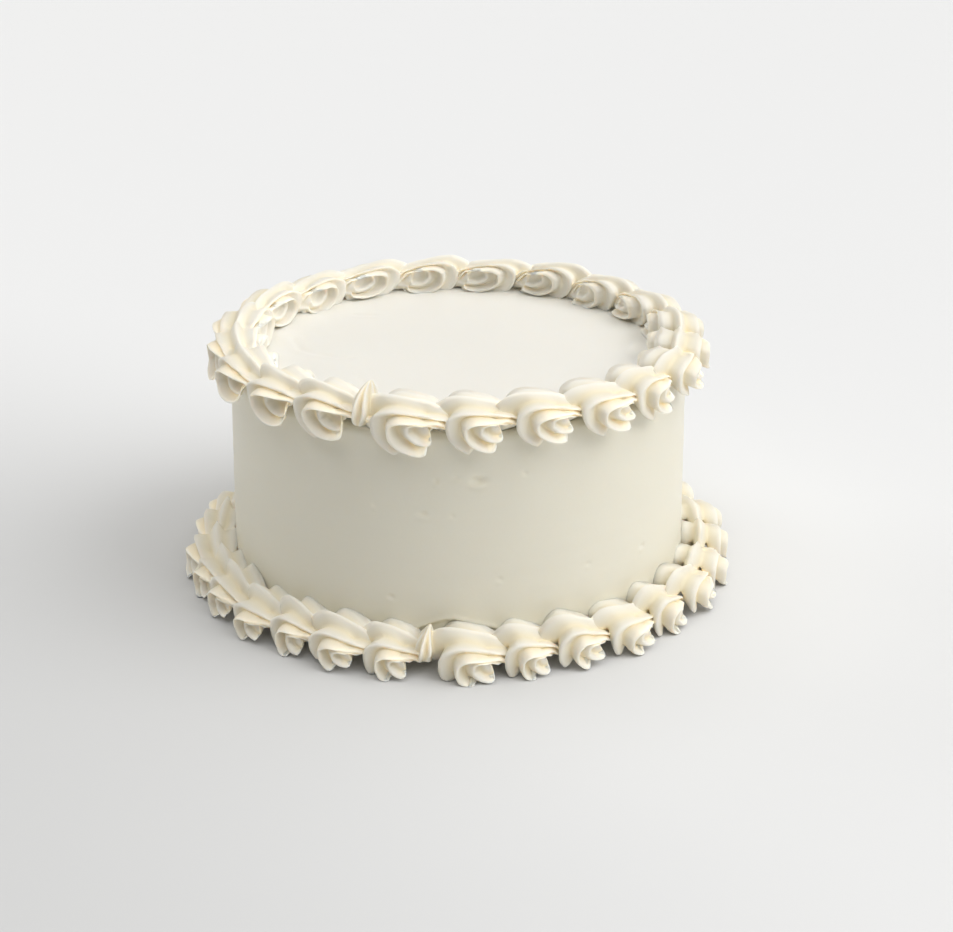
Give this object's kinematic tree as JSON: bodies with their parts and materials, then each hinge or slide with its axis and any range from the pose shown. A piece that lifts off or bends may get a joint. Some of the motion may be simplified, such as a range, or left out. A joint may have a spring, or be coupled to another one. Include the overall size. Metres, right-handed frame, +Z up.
{
  "type": "layer cake",
  "caption": "Round uncut layer cake iced smooth in pale buttercream, with piped shell borders along its top edge and round its foot.",
  "frame": {"origin": "centre of the flat underside of the cake", "axes": "+Z up, out of the iced top; -Y is the front, with the seams of the piped borders a little to its left"},
  "size_m": [0.1998, 0.2, 0.0956],
  "materials": {
    "smooth_buttercream": "soft satin icing smoothed with a spatula",
    "piped_buttercream": "soft satin icing in piped ridges"
  },
  "bodies": {
    "root": {"iced_cake": "smooth_buttercream", "top_shell_border": "piped_buttercream", "base_shell_border": "piped_buttercream"}
  },
  "joints": []
}
